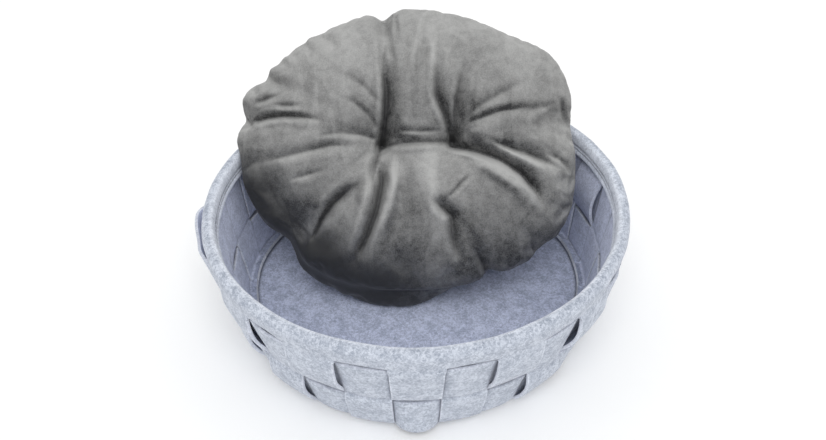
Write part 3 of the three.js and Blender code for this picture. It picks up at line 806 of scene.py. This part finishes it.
def drawn_in(spots):
    """The depth of dimples and creases together at each spot, and the painted shade lines at the bottoms
    of the folds.
    """
    depth = np.zeros(len(spots))
    for tuft in TUFTS:
        away = np.linalg.norm(spots - tuft, axis=1)
        depth += DIMPLE["depth"] * np.exp(-(away / DIMPLE["reach"]) ** 2)
        depth += PIT["depth"] * np.exp(-away / PIT["reach"])
    valleys = np.zeros(len(spots))
    ridges = np.zeros(len(spots))
    fold_shade = np.zeros(len(spots))
    for crease in CREASES:
        low = np.min(crease["path"], 0) - CREASE_REACH
        high = np.max(crease["path"], 0) + CREASE_REACH
        near = ((spots > low) & (spots < high)).all(1)
        here, bottom = crease_depth(crease, spots[near])
        valleys[near] += np.maximum(0, here) ** 2
        ridges[near] += np.minimum(0, here)
        fold_shade[near] = np.maximum(fold_shade[near], bottom)
    return np.array([depth + np.sqrt(valleys) + ridges, fold_shade])


tie_depths = drawn_in(np.array(TUFTS, float))[0]
print("the ties draw the plush in by", tie_depths.round(1).tolist(), "mm")

# %% [markdown]
# Now the front panel is pressed in along the cushion's own axis, and near the seam along its normals, so
# that its margin keeps its outline. The seam itself is drawn in a little, except at the lower left,
# where it lies flat and is evened out. The relief is a point's depth beside the mean depth round it: it
# tells the finish where to paint highlights on the ridges and shade in the valleys.

# %% Press the creases in
FRONT_EASE = (1, 15)         # heights over the seam between which creases reach their full depth
AXIS_EASE = (8, 30)          # and between which their direction turns from the normals to the axis
FLAT_SEAM = (190, 206, 250, 268)     # turns at which the flat part of the seam begins and ends softly
TUCK = 0.7                   # how far the seam is drawn in,
TUCK_WIDTH = 3               # over this half width
EVEN_WIDTH = 12              # half width of the strip that is evened out,
EVEN_ROUNDS = 30             # with this many rounds of averaging
RELIEF_ROUNDS = 20           # rounds of averaging for the mean depth round a point


def on_turns(ends, turn):
    """1 on a stretch of the seam, with a soft beginning and end."""
    return smooth(ends[0], ends[1], turn) * (1 - smooth(ends[2], ends[3], turn))


def spread(mesh, values, rounds):
    """Averages values over neighbouring points of a mesh, again and again."""
    ends = np.empty(len(mesh.edges) * 2, np.int32)
    mesh.edges.foreach_get("vertices", ends)
    one, other = ends.reshape(-1, 2).T
    beside = np.bincount(ends, minlength=len(values))
    for _ in range(rounds):
        total = np.bincount(one, values[other], len(values))
        total += np.bincount(other, values[one], len(values))
        values = total / beside
    return values


plump = points_of(cushion.data)
local = own_frame(plump)
front = smooth(*FRONT_EASE, local[:, 2])
depth, fold_shade = np.zeros((2, len(local)))
depth[front > 0], fold_shade[front > 0] = drawn_in(local[front > 0, :2]) * front[front > 0]
normals = np.empty(len(plump) * 3, np.float32)
cushion.data.vertices.foreach_get("normal", normals)
normals = normals.reshape(-1, 3)
along_axis = smooth(*AXIS_EASE, local[:, 2])[:, None]
inward = -(along_axis * AXES[2] + (1 - along_axis) * normals)
turn = np.degrees(np.arctan2(local[:, 1], local[:, 0])) % 360
sewn_flat = on_turns(FLAT_SEAM, turn)
tucked = TUCK * (1 - sewn_flat) * np.exp(-(local[:, 2] / TUCK_WIDTH) ** 2)
creased = plump + inward * depth[:, None] - normals * tucked[:, None]
even = np.stack([spread(cushion.data, column, EVEN_ROUNDS) for column in creased.T], 1)
creased += (sewn_flat * np.exp(-(local[:, 2] / EVEN_WIDTH) ** 2))[:, None] * (even - creased)
relief = spread(cushion.data, depth + tucked, RELIEF_ROUNDS) - depth - tucked
set_points(cushion.data, clear_of_bowl(creased))
print("deepest crease", round(float(depth.max()), 1), "mm")

# %% [markdown]
# Short plush shows where a hand has stroked it: the pile lies over and looks paler or darker there. The
# strokes below are partly such brushed pile and partly painted highlights and painted shade. These places
# can't come from noise, so they are a short table too, each a soft stroke along a path. A positive amount
# is paler, a negative one darker.

# %% Strokes in the pile and painted light
STROKE_COLUMNS = ("amount", "width", "path")
STROKE_ROWS = [
    (0.24, 9, [(20, -8), (23, -40), (27, -88)]),
    (0.18, 5, [(-10, -25), (-19, -54), (-34, -91)]),
    (0.12, 5, [(25, 112), (25, 80)]),
    (0.08, 6, [(13, 104), (19, 72)]),
    (0.14, 4, [(53, 72), (46, 23)]),
    (0.2, 4, [(65, -6), (94, -27), (123, -50)]),
    (0.16, 4, [(104, -11), (147, -30)]),
    (0.1, 20, [(-56, 102), (-61, 43)]),
    (0.06, 9, [(112, 52), (148, 40)]),
    (0.15, 5, [(-51, -50), (-84, -85)]),
    (0.2, 13, [(-22, -120), (31, -124)]),
    (0.16, 13, [(-141, -23), (-104, -27)]),
    (0.1, 12, [(-3, 23), (23, 21)]),
    (-0.16, 9, [(-14, 72), (-9, 12)]),
    (-0.05, 12, [(46, -69), (74, -117)]),
    (-0.14, 16, [(60, 38), (104, 18)]),
    (-0.12, 8, [(2, -33), (7, -69)]),
    (0.16, 4, [(-93, -66), (-97, -86)]),
    (0.1, 9, [(-150, -5), (-100, -4)]),
    (0.13, 11, [(-112, -42), (-82, -49)]),
    (0.1, 12, [(76, -84), (82, -118)]),
    (-0.12, 10, [(57, 96), (82, 66), (114, 34)]),
]
STROKES = [dict(zip(STROKE_COLUMNS, row)) for row in STROKE_ROWS]
STROKE_SAMPLES = 24
STROKE_ROUNDS = 60
STROKE_EASE = (0, 10)        # heights over the seam between which strokes come in

# Partly brushed pile, partly painted highlights and painted shade.
pile_strokes_and_light = np.zeros(len(local))
for stroke in STROKES:
    line = soft_line(stroke["path"], STROKE_SAMPLES, STROKE_ROUNDS)
    away = np.linalg.norm(local[:, None, :2] - line, axis=2).min(1)
    pile_strokes_and_light += stroke["amount"] * np.exp(-(away / stroke["width"]) ** 2)
pile_strokes_and_light *= smooth(*STROKE_EASE, local[:, 2])
print("strokes in the pile:", len(STROKES))

# %% [markdown]
# At the lower left a painted shadow lies all along the edge. Strokes would look like stains there, so a
# function of the turn round the cushion paints shade over the whole margin, from an inner end that bends
# round the deep fold. All these values are kept on the points, for the finish to read.

# %% The painted shadow on the margin
MARGIN_TURNS = (178, 198, 258, 286)  # where the margin begins and ends softly
MARGIN_FROM = 0.71           # share of the way to the seam where the shade starts,
MARGIN_WIDTH = 0.25          # and over which it deepens
MARGIN_BENDS = [(219, 5, 0.14), (231, 8, -0.1)]    # turn, spread and how much further out it starts
MARGIN_BACK = (-45, -15)     # heights under the seam between which it fades out on the back panel

share = np.hypot(local[:, 0], local[:, 1]) / seam_reach(turn)
inner_end = MARGIN_FROM
for middle, width, further in MARGIN_BENDS:
    inner_end = inner_end + further * np.exp(-((turn - middle) / width) ** 2)
# A painted shadow over the lower-left margin and the back panel under it.
margin_shadow = np.where(local[:, 2] < 0, 1, smooth(0, MARGIN_WIDTH, share - inner_end))
margin_shadow *= smooth(*MARGIN_BACK, local[:, 2])
margin_shadow *= on_turns(MARGIN_TURNS, turn)
# Kept for the finish: the relief for painted highlights and shade, the painted fold shade, the strokes and
# the painted margin shadow.
paint(cushion, {"relief": relief, "fold_shade": fold_shade, "pile_strokes_and_light": pile_strokes_and_light, "margin_shadow": margin_shadow})
print("points in the hanging margin:", int((margin_shadow > 0).sum()))

# %% [markdown]
# Materials are written as formulas. One small class holds a socket of a node and overloads Python's
# operators, so that 1 - mask or noise * 0.5 adds the Math node for it. Every other node comes from
# one method, which takes the node's type, its settings and what goes into its sockets.

# %% A class for shader formulas


class Wire:
    """A socket of a material's nodes that Python's operators work on."""

    def __init__(self, tree, socket=None):
        self.tree = tree
        self.socket = socket

    def node(self, kind, settings, sockets, output=0):
        """Adds a node, sets it up, fills its sockets and gives one of its outputs."""
        made = self.tree.nodes.new(kind)
        for name, value in settings.items():
            setattr(made, name, value)
        for name, value in sockets.items():
            if isinstance(value, Wire):
                self.tree.links.new(value.socket, made.inputs[name])
            else:
                made.inputs[name].default_value = value
        return Wire(self.tree, made.outputs[output])

    def math(self, operation, first, second):
        return self.node("ShaderNodeMath", {"operation": operation}, {0: first, 1: second})

    def __add__(self, other):
        return self.math("ADD", self, other)

    def __sub__(self, other):
        return self.math("SUBTRACT", self, other)

    def __mul__(self, other):
        return self.math("MULTIPLY", self, other)

    def __radd__(self, other):
        return self.math("ADD", other, self)

    def __rsub__(self, other):
        return self.math("SUBTRACT", other, self)

    def __rmul__(self, other):
        return self.math("MULTIPLY", other, self)

    def spots(self, place, scale, detail=2, distortion=0):
        """Noise from 0 to 1 at a place, with this many spots a metre."""
        sockets = {"Vector": place, "Scale": scale, "Detail": detail, "Distortion": distortion}
        return self.node("ShaderNodeTexNoise", {}, sockets)

    def painted(self, name):
        """The values that were kept under this name for a piece's points."""
        return self.node("ShaderNodeAttribute", {"attribute_name": name}, {}, "Fac")

    def dot(self, first, second):
        settings = {"operation": "DOT_PRODUCT"}
        return self.node("ShaderNodeVectorMath", settings, {0: first, 1: second}, "Value")

    def between(self, low, high):
        """0 below low, 1 above high, and smooth in between."""
        settings = {"interpolation_type": "SMOOTHSTEP"}
        sockets = {"Value": self, "From Min": low, "From Max": high}
        return self.node("ShaderNodeMapRange", settings, sockets)

    def blend(self, first, second, how="MIX"):
        """A colour that goes from the first to the second, or to both multiplied, with this value."""
        settings = {"data_type": "RGBA", "clamp_factor": False, "blend_type": how}
        return self.node("ShaderNodeMix", settings, {0: self, 6: first, 7: second}, 2)


def new_finish(name):
    """An empty material, its Principled shader and a Wire to start its formulas from."""
    finish = bpy.data.materials.new(name)
    finish.use_nodes = True
    shader = finish.node_tree.nodes["Principled BSDF"]
    return finish, shader, Wire(finish.node_tree)


def feed(shader, wires):
    """Links wires to a shader's sockets by their names."""
    for name, wire in wires.items():
        wire.tree.links.new(wire.socket, shader.inputs[name])


print("shader formulas ready")

# %% [markdown]
# The felt is pressed from white, grey and bluish fibres, which gives it a heathered look: soft blotches
# a centimetre wide, fine flecks over them, and here and there a darker hair: the line along which
# noise passes its middle value. A photo of felt would do as a texture, but noise at several sizes
# looks the same from every side and needs no unwrapping. The same flecks raise the surface a little.

# %% Felt fibres
BLOTCHES = 90                # spots a metre, as for the next three
FLECKS = 400
FIBRES = 1000
STRANDS = 190
HEATHER_ENDS = (0.385, 0.615)    # the mixed noise is all dark and all pale at these values
HAIR_WIDTH = (0.002, 0.03)   # how near to its middle value the noise makes a hair
HAIR_GAPS = (0.42, 0.6)      # and how the fibres break it up


def felt_fibres(wire, place):
    """How pale the felt's fibres are at a place, and the bump that they raise."""
    blotches = wire.spots(place, BLOTCHES, 3)
    flecks = wire.spots(place, FLECKS, 4, 0.8)
    fibres = wire.spots(place, FIBRES, 3, 1)
    strands = wire.spots(place, STRANDS, 2, 1.2)
    off_strand = wire.math("ABSOLUTE", strands - 0.5, 0)
    hairs = (1 - off_strand.between(*HAIR_WIDTH)) * fibres.between(*HAIR_GAPS)
    mixed = blotches * 0.24 + flecks * 0.43 + fibres * 0.33
    height = flecks * 0.6 + fibres * 0.4
    fuzz = wire.node("ShaderNodeBump", {}, {"Strength": 0.35, "Distance": 0.0012, "Height": height})
    return mixed.between(*HEATHER_ENDS) - hairs * 0.3, fuzz


print("felt: about", FIBRES, "fibres and", FLECKS, "flecks a metre")

# %% [markdown]
# The felt doesn't look the same all over. Painted light makes its inner faces paler than its outer ones
# and the inside of the bowl bluer, cut edges are paler, flecks are a little stronger where the felt lies
# flat, as painted light from above, and painted shade lines along the bands' edges darken only the face
# that the band lies on. A normal tells which face it is: one that points away from the bowl's axis is an
# outer face. A weak sheen stands for the loose fibres that catch the light.

# %% Felt finish
FELT_DARK = (0.365, 0.4, 0.475, 1)
FELT_PALE = (0.66, 0.7, 0.785, 1)
CUT_DARK = (0.48, 0.505, 0.58, 1)
CUT_PALE = (0.71, 0.74, 0.82, 1)
# The thread is darker than the felt, partly as its own colour and partly as painted shade between the
# stitches.
THREAD_DARK = (0.3, 0.32, 0.38, 1)
THREAD_PALE = (0.44, 0.46, 0.52, 1)
# Colour of the painted shade along the bands' edges, the slits, the stitches and the tabs.
EDGE_SHADE_COLOUR = (0.13, 0.14, 0.18, 1)
# A painted tint of cooler light for the inside of the bowl.
PAINTED_INSIDE_TINT = (0.95, 0.96, 1.065, 1)
NO_TINT = (1, 1, 1, 1)
HEM_HEIGHTS = (0.105, 0.125)     # metres between which the painted tint inside ends, under the hem


def make_felt(name, dark, pale, painted_tint):
    """A felt finish between two colours, with a painted tint of light for the bowl's inside."""
    finish, shader, wire = new_finish(name)
    place = wire.node("ShaderNodeTexCoord", {}, {}, "Object")
    normal = wire.node("ShaderNodeTexCoord", {}, {}, "Normal")
    heather, fuzz = felt_fibres(wire, place)
    flat_place = wire.node("ShaderNodeVectorMath", {"operation": "MULTIPLY"}, {0: place, 1: (1, 1, 0)})
    outward = wire.dot(flat_place, normal)
    outer = outward.between(-0.02, 0.02)
    painted_inner_light = (0 - outward).between(0.03, 0.12)
    lying = wire.dot(normal, (0, 0, 1)).between(0.2, 1)
    below_hem = 1 - wire.dot(place, (0, 0, 1)).between(*HEM_HEIGHTS)
    # Painted light: the inside of the bowl below the hem, and faces that lie flat, take the cooler tint.
    inside = wire.math("MAXIMUM", (0 - outward).between(0, 0.05), lying) * below_hem
    # Painted shade lines, read for the face that the band lies on.
    edge_shade = outer * wire.painted("shade_outside") + (1 - outer) * wire.painted("shade_inside")
    # Painted light from above: the flecks show a little stronger where the felt lies flat.
    flecked = (heather - 0.5) * (lying * 0.15 + 1) + 0.5
    # Painted light makes inner faces paler and outer faces darker; outer faces near a cut edge are paler.
    cut_edge_and_face_light = outer * (wire.painted("near_cut") * 0.5 - 0.36) + painted_inner_light * 0.4 + 0.2
    tint = inside.blend((flecked + cut_edge_and_face_light).blend(dark, pale), painted_tint, "MULTIPLY")
    feed(shader, {"Base Color": (edge_shade * 0.8).blend(tint, EDGE_SHADE_COLOUR), "Normal": fuzz})
    shader.inputs["Roughness"].default_value = 0.95
    shader.inputs["Sheen Weight"].default_value = 0.15
    shader.inputs["Sheen Roughness"].default_value = 0.6
    shader.inputs["Specular IOR Level"].default_value = 0.2
    return finish


felt_finish = make_felt("heathered_felt", FELT_DARK, FELT_PALE, PAINTED_INSIDE_TINT)
edge_finish = make_felt("cut_felt_edge", CUT_DARK, CUT_PALE, NO_TINT)
thread_finish = make_felt("hem_thread", THREAD_DARK, THREAD_PALE, NO_TINT)
for piece in (wall, upper_band, lower_band, floor_disc):
    piece.data.materials.append(felt_finish)
    piece.data.materials.append(edge_finish)
stitches.data.materials.append(thread_finish)
print("felt finish:", len(felt_finish.node_tree.nodes), "nodes")

# %% [markdown]
# The plush has a short pile that lies this way or that where a hand has stroked it, so its grey is
# blotchy. Painted light on top makes it paler on faces turned up and back, towards one set direction, and
# darker on faces turned away. Long soft noise makes faint strokes and fine noise the pile; the strokes,
# the painted highlights on ridges and the painted shade in valleys, along folds and over the margin, kept
# on the points, come on top. A velvet shader could do the rim light; the Principled sheen does the same
# and survives an export.

# %% Plush finish
PAINTED_LIGHT_FROM = (0.15, 0.42, 0.85)   # the direction from which the painted light falls: faces turned this way are palest
PILE_DARK = (0.02, 0.02, 0.021, 1)
PILE_PALE = (0.39, 0.39, 0.386, 1)

plush_finish, plush_shader, wire = new_finish("short_plush")
place = wire.node("ShaderNodeTexCoord", {}, {}, "Object")
stretched = wire.node("ShaderNodeMapping", {}, {"Vector": place, "Scale": (1, 0.45, 0.45)})
strokes = wire.spots(stretched, 48, 3, 0.6)
patches = wire.spots(place, 140, 3, 0.4)
pile = wire.spots(place, 800, 3)
marks = wire.spots(stretched, 34, 2, 1.2)
upright = wire.node("ShaderNodeTexCoord", {}, {}, "Normal")
# Painted light: faces turned towards the set direction are paler, faces turned away darker.
facing = wire.dot(upright, PAINTED_LIGHT_FROM)
brushed = strokes * 0.2 + patches * 0.35 + pile * 0.45
mottle = brushed.between(0.3, 0.7) * 0.34 + marks.between(0.46, 0.56) * 0.1
lit_side_and_mottle = facing.between(-0.35, 1) * 0.78 + mottle
height = wire.painted("relief")
# Painted highlight on the ridges and painted shade in the valleys, from the relief.
ridge_highlight = height.between(0.2, 2.6)
valley_shade = (0 - height).between(0.8, 7)
pile_bump = wire.node("ShaderNodeBump", {}, {"Strength": 0.3, "Distance": 0.0008,
                                             "Height": pile * 0.6 + patches * 0.4})
pile_and_painted_light = wire.math("MAXIMUM", lit_side_and_mottle + ridge_highlight * 0.24 + wire.painted("pile_strokes_and_light") - 0.1, 0)
grey = wire.math("MINIMUM", pile_and_painted_light, 1).blend(PILE_DARK, PILE_PALE)
# Painted shade in the valleys, along the folds' bottoms and over the margin, towards PILE_DARK.
creased_shade = (1 - valley_shade * 0.75) * (1 - wire.painted("fold_shade") * 0.6)
shade = creased_shade * (1 - wire.painted("margin_shadow") * 0.95)
feed(plush_shader, {"Base Color": shade.blend(PILE_DARK, grey), "Normal": pile_bump})
plush_shader.inputs["Roughness"].default_value = 0.55
plush_shader.inputs["Specular IOR Level"].default_value = 0.4
plush_shader.inputs["Sheen Weight"].default_value = 0.08
plush_shader.inputs["Sheen Roughness"].default_value = 0.4
cushion.data.materials.append(plush_finish)
print("plush finish:", len(plush_finish.node_tree.nodes), "nodes")

# %% [markdown]
# Each piece is hung on the one body, and the solid that it stands for is hidden. The bed has no
# joints, so everything rides on the one body.

# %% Hang the pieces on the body
STANDS_FOR = {wall: "wall_panel", upper_band: "weaver_upper", lower_band: "weaver_lower",
              floor_disc: "floor_disc", cushion: "cushion"}

for piece, node in STANDS_FOR.items():
    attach(piece, "root")
    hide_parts(node)
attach(stitches, "root")
for band, length, row in ((upper_band, upper_length, "upper"), (lower_band, lower_length, "lower")):
    width = ROWS[row]["high_edge"] - ROWS[row]["low_edge"]
    width * MM
print("pieces:", [piece.name for piece in STANDS_FOR], stitches.name)

# %% [markdown]
# The bed stands on a plain pale floor in soft light. A wide lamp of nearly neutral white, from above and
# in front, reaches into the bowl, and a white surround fills the shadows, as walls do in a studio.

# %% Floor and light
GROUND = 6                   # metres from its middle to its edges
GROUND_GAP = 0.0003          # metres between it and the bed, so that the two never share a face

ground_mesh = bpy.data.meshes.new("ground")
corners = [(-GROUND, -GROUND, 0), (GROUND, -GROUND, 0), (GROUND, GROUND, 0), (-GROUND, GROUND, 0)]
ground_mesh.from_pydata(corners, [], [(0, 1, 2, 3)])
ground = bpy.data.objects.new("ground", ground_mesh)
ground.location.z = -GROUND_GAP
bpy.context.scene.collection.objects.link(ground)
ground_finish, ground_shader, _ = new_finish("pale_ground")
ground_shader.inputs["Base Color"].default_value = (0.98, 0.98, 0.98, 1)
ground_shader.inputs["Roughness"].default_value = 0.9
ground_mesh.materials.append(ground_finish)

key_light = bpy.data.lights.new("key", "SUN")
key_light.energy = 1.05
key_light.color = (0.98, 0.99, 1)
key_light.angle = math.radians(40)
key = bpy.data.objects.new("key", key_light)
key.rotation_euler = (math.radians(33), math.radians(1), 0)
bpy.context.scene.collection.objects.link(key)

surround = bpy.data.worlds.new("surround")
surround.use_nodes = True
surround.node_tree.nodes["Background"].inputs["Color"].default_value = (1, 1, 0.99, 1)
surround.node_tree.nodes["Background"].inputs["Strength"].default_value = 0.83
bpy.context.scene.world = surround
bpy.context.scene.view_settings.view_transform = "Standard"
print("lights:", key.name, "and the surround")

# %% [markdown]
# Last, the view layer is brought up to date.

# %% Bring the scene up to date
bpy.context.view_layer.update()
